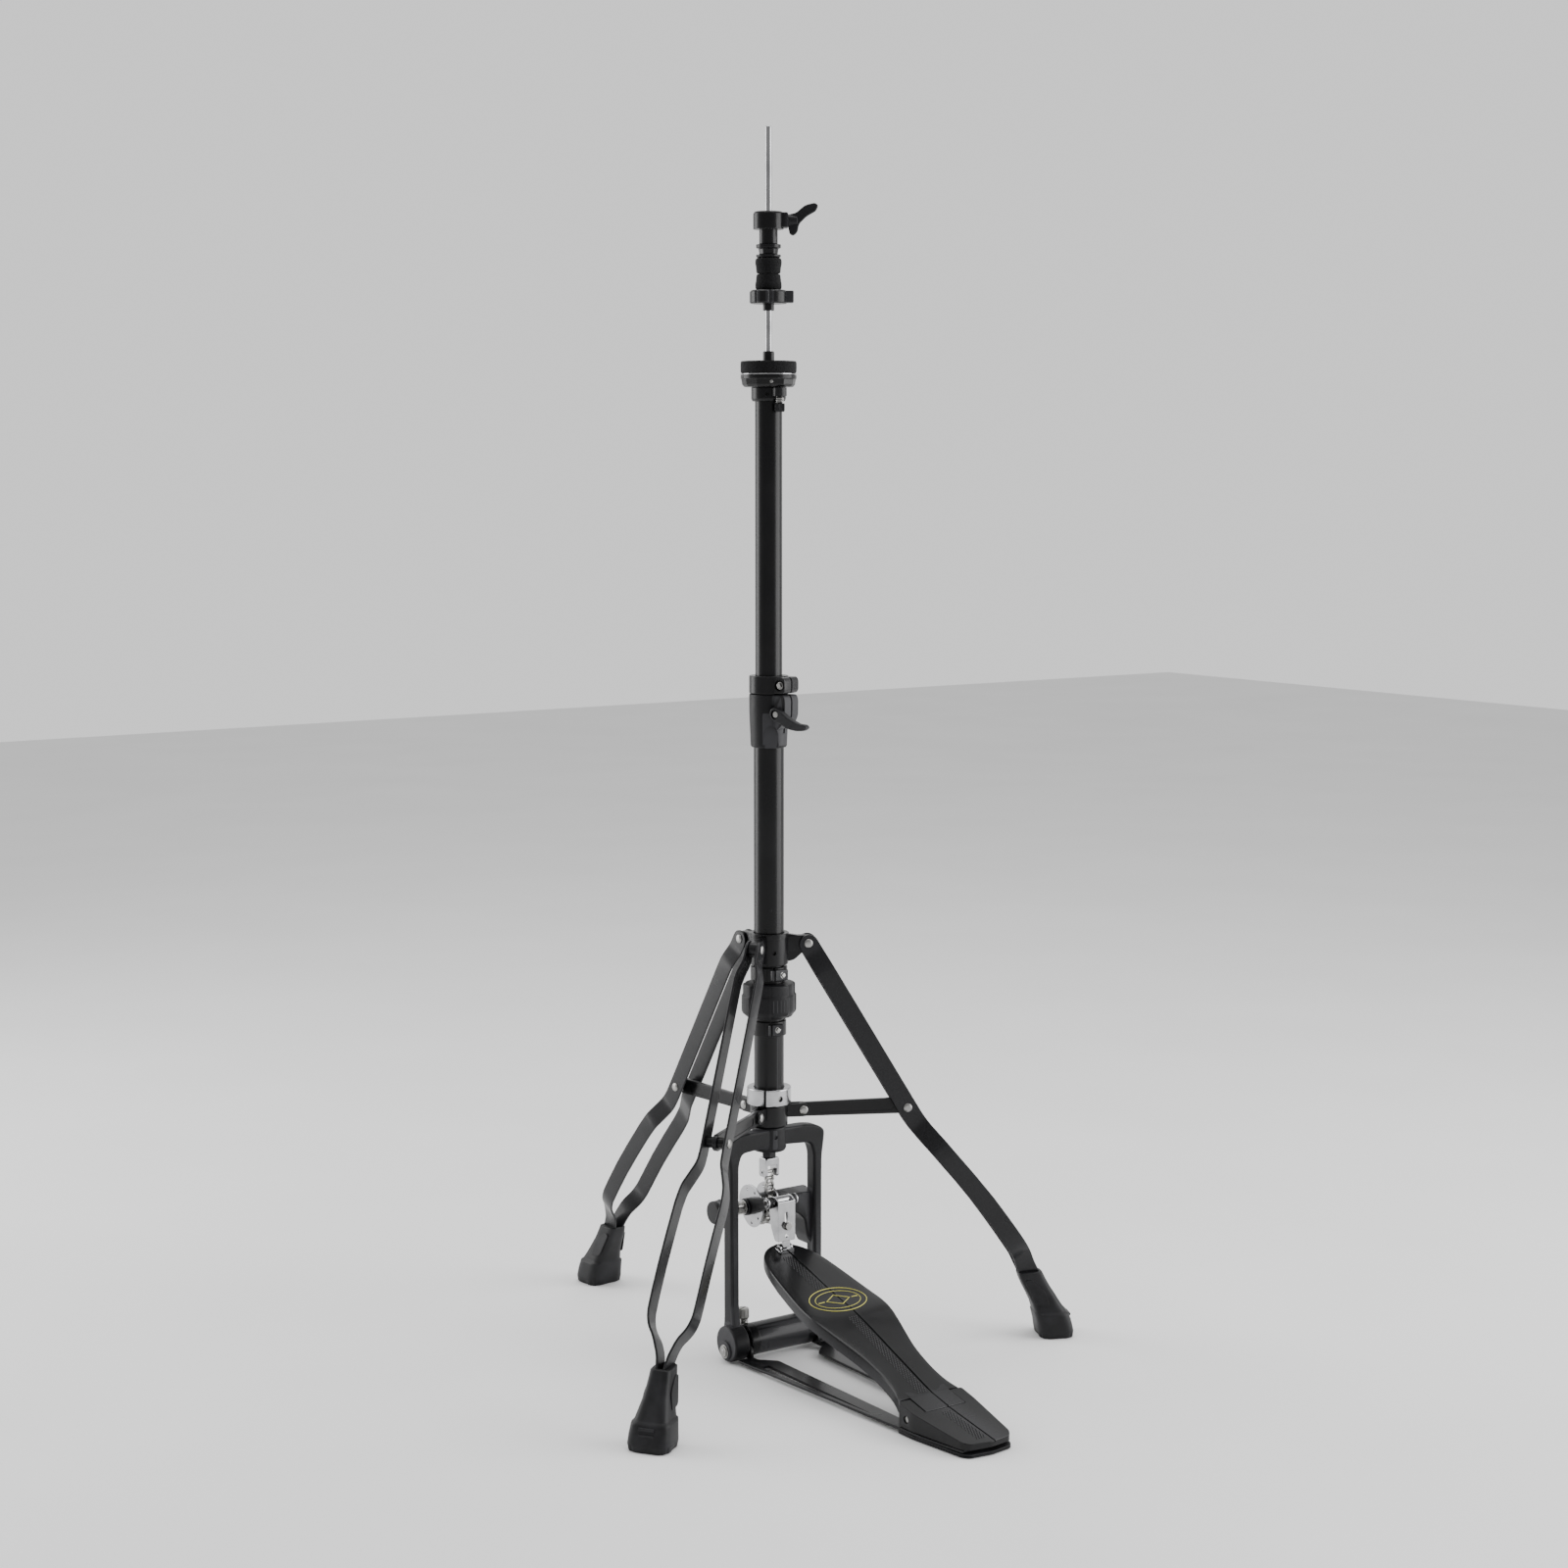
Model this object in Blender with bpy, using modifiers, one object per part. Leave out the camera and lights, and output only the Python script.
"""Hi-hat stand: tube column with clutch and pull rod, folding double-strip tripod, chain-driven pedal.

Helpers take millimetres and make Blender geometry in metres. The tube column stands on the Z axis while it is
modelled, with the heel of the pedal towards -Y, and the whole stand is then centred over the origin.
"""

import math

import bmesh
import bpy
from mathutils import Matrix, Vector

MM = 0.001
GAP = 0.3  # between pieces that touch on the real stand

# Column
ROD_RADIUS = 3.175
UPPER_TUBE_RADIUS = 12.7
LOWER_TUBE_RADIUS = 14.3
TUBE_WALL = 1.2
LOWER_TUBE_BOTTOM = 201.0
LOWER_TUBE_TOP = 634.0
UPPER_TUBE_BOTTOM = 480.0
UPPER_TUBE_TOP = 916.0
ROD_TOP = 1159.7
COUPLER_Z = 560.0
COUPLER_LENGTH = 30.0
COUPLER_RADIUS = 5.2

# Clutch
CLUTCH_NUT_TOP = 1011.1
CLUTCH_NUT_HEIGHT = 12.5
CLUTCH_NUT_RADIUS = 17.5
CLUTCH_SLEEVE_RADIUS = 5.2
CLUTCH_NECK_LENGTH = 6.3
FELT_HEIGHT = 14.2
FELT_RADIUS = 12.6
LOCK_NUT_HEIGHT = 9.1
LOCK_RING_HEIGHT = 2.8
LOCK_NUT_RADIUS = 11.5
CLUTCH_HEAD_HEIGHT = 16.0
CLUTCH_HEAD_Z = 1074.3
CLUTCH_SIDE = 55.5  # turn of the clutch's wing from straight over the heel
CLUTCH_HEAD_RADIUS = 14.2

# Cymbal seat
SEAT_RADIUS = 26.3
SEAT_CUP_HEIGHT = 11.0
SEAT_WASHER_THICKNESS = 0.9
SEAT_FELT_HEIGHT = 11.3
SEAT_NIPPLE_RADIUS = 5.3
SEAT_NIPPLE_RISE = 9.0
SEAT_BORE_RADIUS = 4.4
SEAT_MOUNT_RADIUS = 16.2
SEAT_MOUNT_HEIGHT = 13.0
TILT_SCREW_REACH = 18.5
TILT_SCREW_DROP = 16.0

# Rings and clamps on the column
HEIGHT_CLAMP_BOTTOM = 586.3
HEIGHT_CLAMP_TOP = 637.0
HEIGHT_CLAMP_RADIUS = 18.6
UPPER_RING_HEIGHT = 16.7
LUG_HALF_WIDTH = 12.0
LUG_REACH = 26.5
LUG_ANGLE = 20.0  # turn of the clamps' lugs from straight over the heel
WING_BOLT_REACH = 20.5
LEG_COLLAR_BOTTOM = 378.7
LEG_COLLAR_HEIGHT = 30.3
LEG_COLLAR_RADIUS = 18.4
STOP_RING_BOTTOM = 363.5
STOP_RING_HEIGHT = 13.3
KNOB_BOTTOM = 328.4
KNOB_HEIGHT = 32.3
KNOB_RADIUS = 26.5
TENSION_RING_BOTTOM = 310.2
TENSION_RING_HEIGHT = 14.3
LOWER_RING_BOTTOM = 243.2
LOWER_RING_HEIGHT = 16.3
LOWER_RING_RADIUS = 21.2
BRACE_COLLAR_BOTTOM = 222.3
BRACE_COLLAR_HEIGHT = 20.0
BRACE_COLLAR_RADIUS = 18.0
SPRING_RADIUS = 8.2
SPRING_WIRE = 0.9
SPRING_TURNS = 11

# Tripod
LEG_ANGLES = {"right": -25.2, "back": 94.8, "left": 214.8}
LEG_PIVOT_REACH = 37.0
LEG_PIVOT_Z = 398.1
BRACE_PIVOT_REACH = 32.9
BRACE_PIVOT_Z = 235.7
BRACE_LENGTH = 100.5
STRIP_WIDTH = 18.6
STRIP_THICKNESS = 2.2
LEG_LUG_HALF = 4.3
BRACE_HALF = 2.2
BRACE_EAR_OUTER = 5.0
BRACE_HEIGHT = 15.5
STRIP_OFFSET_AT_RIVET = 10.9
STRIP_OFFSET_WIDE = 22.0
STRIP_OFFSET_AT_FOOT = 3.2
RIVET_RADIUS = 2.6
RIVET_HEAD_RADIUS = 4.4
FOOT_REACH = 283.0
BOOT_HEIGHT = 64.0

# Pedal frame
FRAME_DEPTH = 14.0
FRAME_Y = -7.0
FRAME_TOP = 221.7
FRAME_HALF_WIDTH = 53.0
POST_WIDTH = 9.5
SHOULDER_Z = 204.0
HUB_RADIUS = 16.6
HUB_BOTTOM = 197.0
BASE_Y = -12.0
BASE_BOSS_RADIUS = 17.5
BASE_BOSS_Z = 18.0
BASE_BOSS_OUTER = 58.0
BASE_BOSS_INNER = 41.0
HINGE_ROD_Z = 11.0
HINGE_ROD_RADIUS = 3.0
BEAM_RADIUS = 15.5
SPUR_X = 32.5
SPUR_Y = -3.5
SPUR_RADIUS = 3.3
SPUR_TOP = 47.0

# Cam drive
AXLE_Y = 17.0
AXLE_Z = 139.0
AXLE_RADIUS = 5.0
AXLE_BOSS_RADIUS = 11.0
RIGHT_BOSS_INNER = 20.5
CAM_PITCH_RADIUS = 17.0
CAM_PLATE_RADIUS = 21.0
CAM_HALF_WIDTH = 10.5
CHAIN_PITCH = 12.7
CHAIN_PLATE_HEIGHT = 8.2
CHAIN_HALF_WIDTH = 4.6
CHAIN_PIN_RADIUS = 1.7
LEVER_PIN_Y = -20.0
LEVER_PIN_Z = 151.0
LEVER_PIN_RADIUS = 3.0
LEVER_INNER = 11.0
LEVER_OUTER = 15.8
CLEVIS_BOTTOM = 170.5
CLEVIS_HEIGHT = 19.3
CLEVIS_HALF_WIDTH = 8.0

# Toe link
LINK_HALF_WIDTH = 10.0
LINK_PLATE = 1.7
LINK_FRONT_Y = -30.0
LINK_BACK_Y = -15.0
LINK_BOTTOM_Z = 107.8

# Footboard and base
HEEL_PIN_Y = -266.0
HEEL_PIN_Z = 15.0
HEEL_PIN_RADIUS = 3.0
TOE_Y = -14.0
TONGUE_END_Y = -277.0
EAR_FRONT_Y = -254.5
TONGUE_HALF_WIDTH = 21.8
HEEL_HALF_WIDTH = 35.8
BOARD_THICKNESS = 3.0
BOARD_SIDE_DROP = 10.0
BOARD_TOP = ((-277, 23.0), (-256, 27.9), (-141, 70.8), (-103, 81.0), (-60, 93.6), (-14, 107.0))
BOARD_HALF_WIDTHS = (
    (-257, 34.5), (-235, 28.5), (-212, 28.0), (-188, 30.5), (-157, 38.5),
    (-130, 43.0), (-90, 39.5), (-48, 33.0), (-31, 28.0), (-14, 16.0),
)
HEEL_REAR_Y = -338.0
HEEL_REAR_HALF_WIDTH = 27.0
RUBBER_THICKNESS = 3.1
BASE_PLATE_THICKNESS = 2.5
RAIL_HEIGHT = 11.0

parts = bpy.data.collections.new("hi_hat_stand")
helpers = bpy.data.collections.new("hi_hat_cutters")


# ---------------------------------------------------------------- helpers


def clear_scene():
    for obj in list(bpy.data.objects):
        bpy.data.objects.remove(obj, do_unlink=True)
    bpy.context.scene.collection.children.link(parts)
    bpy.context.scene.collection.children.link(helpers)


def material(name, color, roughness, metallic):
    made = bpy.data.materials.new(name)
    made.use_nodes = True
    shader = made.node_tree.nodes["Principled BSDF"]
    shader.inputs["Base Color"].default_value = (*color, 1.0)
    shader.inputs["Roughness"].default_value = roughness
    shader.inputs["Metallic"].default_value = metallic
    return made


def add_object(name, data):
    obj = bpy.data.objects.new(name, data)
    parts.objects.link(obj)
    return obj


def from_bmesh(name, bm):
    mesh = bpy.data.meshes.new(name)
    bmesh.ops.recalc_face_normals(bm, faces=bm.faces)
    bm.to_mesh(mesh)
    bm.free()
    return add_object(name, mesh)


def block(name, low, high):
    """A box between two corners."""
    low, high = Vector(low) * MM, Vector(high) * MM
    bm = bmesh.new()
    size = Matrix.Diagonal((*(high - low), 1.0))
    bmesh.ops.create_cube(bm, size=1.0, matrix=Matrix.Translation((low + high) / 2) @ size)
    return from_bmesh(name, bm)


def rod(name, radius, start, end, sides=20, end_radius=None):
    """A cylinder, or a cone, between two points."""
    start, end = Vector(start) * MM, Vector(end) * MM
    turn = Vector((0, 0, 1)).rotation_difference(end - start).to_matrix().to_4x4()
    bm = bmesh.new()
    bmesh.ops.create_cone(
        bm,
        cap_ends=True,
        segments=sides,
        radius1=radius * MM,
        radius2=(radius if end_radius is None else end_radius) * MM,
        depth=(end - start).length,
        matrix=Matrix.Translation((start + end) / 2) @ turn,
    )
    return from_bmesh(name, bm)


def turned(name, profile, sides=28, ring=False):
    """A profile of (radius, z) points from top to bottom, turned about Z. A ring's profile closes on itself."""
    mesh = bpy.data.meshes.new(name)
    points = [(radius * MM, 0.0, z * MM) for radius, z in profile]
    count = len(points)
    edges = [(i, (i + 1) % count) for i in range(count if ring else count - 1)]
    mesh.from_pydata(points, edges, [])
    obj = add_object(name, mesh)
    screw = obj.modifiers.new("turn", "SCREW")
    screw.steps = sides
    screw.render_steps = sides
    screw.use_merge_vertices = True
    screw.merge_threshold = 0.0001
    return obj


def tube(name, outer, inner, bottom, top, sides=28):
    return turned(name, [(outer, top), (outer, bottom), (inner, bottom), (inner, top)], sides, ring=True)


def plate(name, outline, low, high, axis="Z"):
    """A flat outline, closed, extruded from low to high along Z, or standing along X or Y."""
    curve = bpy.data.curves.new(name, "CURVE")
    curve.dimensions = "2D"
    curve.fill_mode = "BOTH"
    curve.extrude = (high - low) / 2 * MM
    spline = curve.splines.new("POLY")
    spline.points.add(len(outline) - 1)
    for point, (u, v) in zip(spline.points, outline):
        point.co = (u * MM, v * MM, 0.0, 1.0)
    spline.use_cyclic_u = True
    drawn = add_object(name + "_outline", curve)
    bpy.context.view_layer.update()
    graph = bpy.context.evaluated_depsgraph_get()
    mesh = bpy.data.meshes.new_from_object(drawn.evaluated_get(graph))
    bpy.data.objects.remove(drawn)
    middle = Matrix.Translation((0, 0, (low + high) / 2 * MM))
    turns = {
        "Z": Matrix.Identity(4),
        "X": Matrix(((0, 0, 1, 0), (1, 0, 0, 0), (0, 1, 0, 0), (0, 0, 0, 1))),
        "Y": Matrix(((1, 0, 0, 0), (0, 0, -1, 0), (0, 1, 0, 0), (0, 0, 0, 1))),
    }
    if axis == "Y":
        middle = Matrix.Translation((0, 0, -(low + high) / 2 * MM))
    bm = bmesh.new()
    bm.from_mesh(mesh)
    bpy.data.meshes.remove(mesh)
    bmesh.ops.transform(bm, matrix=turns[axis] @ middle, verts=bm.verts)
    bmesh.ops.remove_doubles(bm, verts=bm.verts, dist=0.00001)
    return from_bmesh(name, bm)


def combine(obj, other, operation):
    """Puts a Boolean with the other solid on this one. The other moves with it, among the cutters."""
    change = obj.modifiers.new(operation.lower(), "BOOLEAN")
    change.operation = operation
    change.solver = "EXACT"
    change.object = other
    other.parent = obj
    other.matrix_parent_inverse = obj.matrix_world.inverted()
    parts.objects.unlink(other)
    helpers.objects.link(other)
    other.hide_render = True
    other.display_type = "WIRE"
    return obj


def join(obj, *others):
    for other in others:
        combine(obj, other, "UNION")
    return obj


def cut(obj, *others):
    for other in others:
        combine(obj, other, "DIFFERENCE")
    return obj


def bevel(obj, width, segments=1):
    edges = obj.modifiers.new("bevel", "BEVEL")
    edges.width = width * MM
    edges.segments = segments
    edges.limit_method = "ANGLE"
    return obj


def finish(obj, finish_material):
    obj.data.materials.clear()
    obj.data.materials.append(finish_material)
    obj.data.shade_smooth()
    obj.data.set_sharp_from_angle(angle=math.radians(32))
    return obj


def apply_modifiers(obj):
    bpy.context.view_layer.update()
    graph = bpy.context.evaluated_depsgraph_get()
    mesh = bpy.data.meshes.new_from_object(obj.evaluated_get(graph))
    obj.modifiers.clear()
    obj.data = mesh
    return obj


def between(stations, at):
    """Straight interpolation in a table of (position, value) stations in rising order."""
    for (x0, v0), (x1, v1) in zip(stations, stations[1:]):
        if at <= x1:
            return v0 + (v1 - v0) * (at - x0) / (x1 - x0)
    return stations[-1][1]


def polar(reach, angle, z=0.0, across=0.0):
    """A point at a reach from the column along a leg's direction, and beside it."""
    turn = math.radians(angle)
    return Vector((
        reach * math.cos(turn) - across * math.sin(turn),
        reach * math.sin(turn) + across * math.cos(turn),
        z,
    ))


def turned_to(obj, angle):
    obj.data.transform(Matrix.Rotation(math.radians(angle), 4, "Z"))
    return obj


def pivot(name, position, parent):
    """An empty on a joint's axis, which the moving pieces are parented to."""
    empty = add_object(name, None)
    empty.empty_display_size = 0.02
    empty.parent = parent
    empty.matrix_parent_inverse = parent.matrix_world.inverted() if parent else Matrix.Identity(4)
    empty.location = Vector(position) * MM
    bpy.context.view_layer.update()
    return empty


def attach(parent, *pieces):
    for piece in pieces:
        piece.parent = parent
        piece.matrix_parent_inverse = parent.matrix_world.inverted()


def thumb_screw(name, seat, length, radius):
    """A wing screw that points at the column, with its upper wing longer than its lower one."""
    wing = [(0, 5), (7, 6), (19, 16), (25, 16), (24, 11), (13, 1), (11, -6), (7, -13), (2, -13), (0, -5)]
    head = plate(name, [(-seat - x, CLUTCH_HEAD_Z + z) for x, z in wing], -2.6, 2.6, "X")
    shaft = rod(
        name + "_shaft", radius, (0, -seat + length, CLUTCH_HEAD_Z), (0, -seat - 3, CLUTCH_HEAD_Z), 14
    )
    apply_modifiers(join(head, shaft))
    return turned_to(head, CLUTCH_SIDE)


def clamp_lever(name, side, reach, z, length, radius):
    """A screw across a clamp's lug, with a lever on its head."""
    hub, tip = Vector((-reach, z)), Vector((-reach - 32.0, z - 9.0))
    outline = []
    steps = 8
    for centre, size, first in ((hub, 6.2, -60), (tip, 4.5, 120)):
        for i in range(steps + 1):
            turn = math.radians(first + 170 * i / steps - 12)
            outline.append((centre.x + size * math.cos(turn), centre.y + size * math.sin(turn)))
    lever = plate(name, outline, side - 8.0, side, "X")
    shaft = rod(name + "_shaft", radius, (side - 1, -reach, z), (side + length, -reach, z), 14)
    apply_modifiers(join(lever, shaft))
    return turned_to(lever, LUG_ANGLE)


# ---------------------------------------------------------------- column


def make_rods(black, chrome):
    bottom = CLEVIS_BOTTOM + CLEVIS_HEIGHT - 7.0
    lower = rod("lower_rod", ROD_RADIUS, (0, 0, bottom), (0, 0, COUPLER_Z - GAP), 16)
    upper = rod("upper_rod", ROD_RADIUS, (0, 0, COUPLER_Z + GAP), (0, 0, ROD_TOP), 16)
    half = COUPLER_LENGTH / 2
    coupler = tube(
        "rod_coupler", COUPLER_RADIUS, ROD_RADIUS + GAP, COUPLER_Z - half, COUPLER_Z + half, 16
    )
    finish(lower, chrome)
    finish(upper, chrome)
    finish(coupler, chrome)
    return lower, upper, coupler


def make_tubes(black):
    lower = tube(
        "lower_tube",
        LOWER_TUBE_RADIUS,
        LOWER_TUBE_RADIUS - TUBE_WALL,
        LOWER_TUBE_BOTTOM,
        LOWER_TUBE_TOP,
    )
    upper = tube(
        "upper_tube",
        UPPER_TUBE_RADIUS,
        UPPER_TUBE_RADIUS - TUBE_WALL,
        UPPER_TUBE_BOTTOM,
        UPPER_TUBE_TOP,
    )
    return finish(lower, black), finish(upper, black)


def make_clutch(black, felt, chrome):
    """The clutch hangs on the rod: a threaded sleeve with a split head, two lock nuts, two felts and a nut."""
    nut_bottom = CLUTCH_NUT_TOP - CLUTCH_NUT_HEIGHT
    neck_bottom = nut_bottom - CLUTCH_NECK_LENGTH
    felt_top = CLUTCH_NUT_TOP + 2 * FELT_HEIGHT + 2 * GAP
    lock_ring_top = felt_top + GAP + LOCK_RING_HEIGHT
    upper_nut_top = lock_ring_top + GAP + LOCK_NUT_HEIGHT
    head_bottom = upper_nut_top + 13.5
    head_top = head_bottom + CLUTCH_HEAD_HEIGHT
    bore = ROD_RADIUS + GAP
    body = turned(
        "clutch_body",
        [
            (CLUTCH_HEAD_RADIUS, head_top),
            (CLUTCH_HEAD_RADIUS, head_bottom),
            (8.6, head_bottom),
            (8.6, upper_nut_top + GAP),
            (CLUTCH_SLEEVE_RADIUS, upper_nut_top + GAP),
            (CLUTCH_SLEEVE_RADIUS, neck_bottom),
            (bore, neck_bottom),
            (bore, head_top),
        ],
        20,
        ring=True,
    )
    seat = CLUTCH_HEAD_RADIUS + 3.5
    hole = rod("clutch_screw_hole", 3.0, (0, -bore - 1.0, CLUTCH_HEAD_Z), (0, -seat - 5, CLUTCH_HEAD_Z), 14)
    cut(body, turned_to(hole, CLUTCH_SIDE))
    wing = thumb_screw("clutch_wing_bolt", seat, seat - bore - 2.0, 2.7)
    inner = CLUTCH_SLEEVE_RADIUS + GAP
    upper_nut = turned(
        "clutch_lock_nut",
        [
            (LOCK_NUT_RADIUS, upper_nut_top),
            (LOCK_NUT_RADIUS, upper_nut_top - 3.8),
            (8.2, upper_nut_top - 3.8),
            (8.2, upper_nut_top - LOCK_NUT_HEIGHT),
            (inner, upper_nut_top - LOCK_NUT_HEIGHT),
            (inner, upper_nut_top),
        ],
        18,
        ring=True,
    )
    lower_nut = tube(
        "clutch_flange_nut", LOCK_NUT_RADIUS, inner, lock_ring_top - LOCK_RING_HEIGHT, lock_ring_top, 18
    )
    nuts = [finish(upper_nut, black), finish(lower_nut, black)]
    felts = []
    for name, bottom, bulge in (("lower", CLUTCH_NUT_TOP + GAP, 0), ("upper", felt_top - FELT_HEIGHT, 1)):
        top = bottom + FELT_HEIGHT
        edge = [
            (FELT_RADIUS - 0.8, top), (FELT_RADIUS - 0.8, top - 6), (FELT_RADIUS, top - 8), (10.8, bottom)
        ]
        if bulge:
            edge = [
                (10.8, top),
                (FELT_RADIUS, bottom + 8),
                (FELT_RADIUS - 0.8, bottom + 6),
                (FELT_RADIUS - 0.8, bottom),
            ]
        profile = edge + [(inner, bottom), (inner, top)]
        felts.append(finish(turned(f"clutch_felt_{name}", profile, 18, ring=True), felt))
    nut = tube("clutch_release_nut", CLUTCH_NUT_RADIUS, inner, nut_bottom, CLUTCH_NUT_TOP, 24)
    lug = block(
        "clutch_nut_lug", (-5, -23.5, nut_bottom + 1), (5, -CLUTCH_NUT_RADIUS + 4, CLUTCH_NUT_TOP - 1)
    )
    join(nut, turned_to(lug, CLUTCH_SIDE))
    finish(body, black)
    finish(wing, black)
    finish(nut, black)
    return body, wing, nuts, felts, nut


def make_seat(black, felt, chrome):
    """The lower cymbal's seat: a tilting cup with a nipple round the rod, a steel washer and a felt disc."""
    cup_bottom = UPPER_TUBE_TOP + 6.3
    cup_top = cup_bottom + SEAT_CUP_HEIGHT
    felt_bottom = cup_top + SEAT_WASHER_THICKNESS + 2 * GAP
    felt_top = felt_bottom + SEAT_FELT_HEIGHT
    nipple_top = felt_top + SEAT_NIPPLE_RISE
    cup = turned(
        "seat_cup",
        [
            (SEAT_NIPPLE_RADIUS, nipple_top),
            (SEAT_NIPPLE_RADIUS, cup_top),
            (SEAT_RADIUS - 0.6, cup_top),
            (SEAT_RADIUS - 0.6, cup_bottom),
            (SEAT_BORE_RADIUS, cup_bottom),
            (SEAT_BORE_RADIUS, nipple_top),
        ],
        24,
        ring=True,
    )
    inner = SEAT_NIPPLE_RADIUS + GAP
    washer_bottom = cup_top + GAP
    washer = tube(
        "seat_washer", SEAT_RADIUS, inner, washer_bottom, washer_bottom + SEAT_WASHER_THICKNESS, 24
    )
    disc = tube("seat_felt", SEAT_RADIUS, inner, felt_bottom, felt_top, 32)
    mount_top = cup_bottom - GAP
    mount = turned(
        "seat_mount",
        [
            (SEAT_MOUNT_RADIUS, mount_top),
            (SEAT_MOUNT_RADIUS, mount_top - SEAT_MOUNT_HEIGHT),
            (UPPER_TUBE_RADIUS + GAP, mount_top - SEAT_MOUNT_HEIGHT),
            (UPPER_TUBE_RADIUS + GAP, UPPER_TUBE_TOP + GAP),
            (SEAT_BORE_RADIUS, UPPER_TUBE_TOP + GAP),
            (SEAT_BORE_RADIUS, mount_top),
        ],
        24,
        ring=True,
    )
    lug_bottom = mount_top - 8.0
    lug = block(
        "seat_mount_lug",
        (-6, -TILT_SCREW_REACH - 5, lug_bottom),
        (6, -SEAT_MOUNT_RADIUS + 2, mount_top - 0.5),
    )
    hole = rod(
        "tilt_screw_hole",
        2.6,
        (0, -TILT_SCREW_REACH, lug_bottom - 1),
        (0, -TILT_SCREW_REACH, mount_top + 1),
        12,
    )
    join(mount, lug)
    cut(mount, hole)
    head_top = lug_bottom - 7.0
    screw = rod(
        "tilt_screw", 2.3, (0, -TILT_SCREW_REACH, head_top - 1), (0, -TILT_SCREW_REACH, mount_top), 12
    )
    head = rod(
        "tilt_screw_head", 4.6, (0, -TILT_SCREW_REACH, head_top - 7.5), (0, -TILT_SCREW_REACH, head_top), 14
    )
    join(screw, head)
    for piece, look in ((cup, black), (washer, chrome), (disc, felt), (mount, black), (screw, black)):
        finish(piece, look)
    return cup, washer, disc, mount, screw


def split_ring(name, outer, inner, bottom, top, reach, angle, look):
    """A clamping ring with its slot, and with a square lug where the reach is past the ring."""
    ring = tube(name, outer, inner, bottom, top, 24)
    if reach > outer:
        lug = block(
            name + "_lug", (-LUG_HALF_WIDTH, -reach, bottom + 0.4), (LUG_HALF_WIDTH, -inner - 1.5, top - 0.4)
        )
        join(ring, turned_to(lug, angle))
    slot = block(name + "_slot", (-1.0, -reach - 1, bottom - 1), (1.0, -inner + 2, top + 1))
    cut(ring, turned_to(slot, angle))
    return finish(ring, look)


def make_height_clamp(black, chrome):
    bore = LOWER_TUBE_RADIUS + GAP
    upper_bore = UPPER_TUBE_RADIUS + GAP
    lip = LOWER_TUBE_TOP + GAP
    clamp = turned(
        "height_clamp",
        [
            (HEIGHT_CLAMP_RADIUS, HEIGHT_CLAMP_TOP),
            (HEIGHT_CLAMP_RADIUS - 1.6, HEIGHT_CLAMP_BOTTOM),
            (bore, HEIGHT_CLAMP_BOTTOM),
            (bore, lip),
            (upper_bore, lip),
            (upper_bore, HEIGHT_CLAMP_TOP),
        ],
        24,
        ring=True,
    )
    screw_z = HEIGHT_CLAMP_TOP - 18.0
    lug = block(
        "height_lug", (-LUG_HALF_WIDTH, -LUG_REACH, screw_z - 12), (
            LUG_HALF_WIDTH, -bore - 1.5, HEIGHT_CLAMP_TOP - 0.5
        )
    )
    slot = block("height_slot", (-1.2, -LUG_REACH - 1, screw_z - 14), (1.2, -bore + 2, HEIGHT_CLAMP_TOP + 1))
    ends = (-LUG_HALF_WIDTH - 1, LUG_HALF_WIDTH + 1)
    hole = rod("height_screw_hole", 3.3, *((x, -WING_BOLT_REACH, screw_z) for x in ends), 14)
    join(clamp, turned_to(lug, LUG_ANGLE))
    cut(clamp, turned_to(slot, LUG_ANGLE), turned_to(hole, LUG_ANGLE))
    side = -LUG_HALF_WIDTH - GAP
    wing = clamp_lever("height_lever", side, WING_BOLT_REACH, screw_z, 2 * LUG_HALF_WIDTH, 3.0)
    ring_bottom = HEIGHT_CLAMP_TOP + GAP
    ring = split_ring(
        "upper_memory_ring",
        HEIGHT_CLAMP_RADIUS,
        upper_bore,
        ring_bottom,
        ring_bottom + UPPER_RING_HEIGHT,
        LUG_REACH,
        LUG_ANGLE,
        black,
    )
    return finish(clamp, black), finish(wing, black), ring


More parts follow.
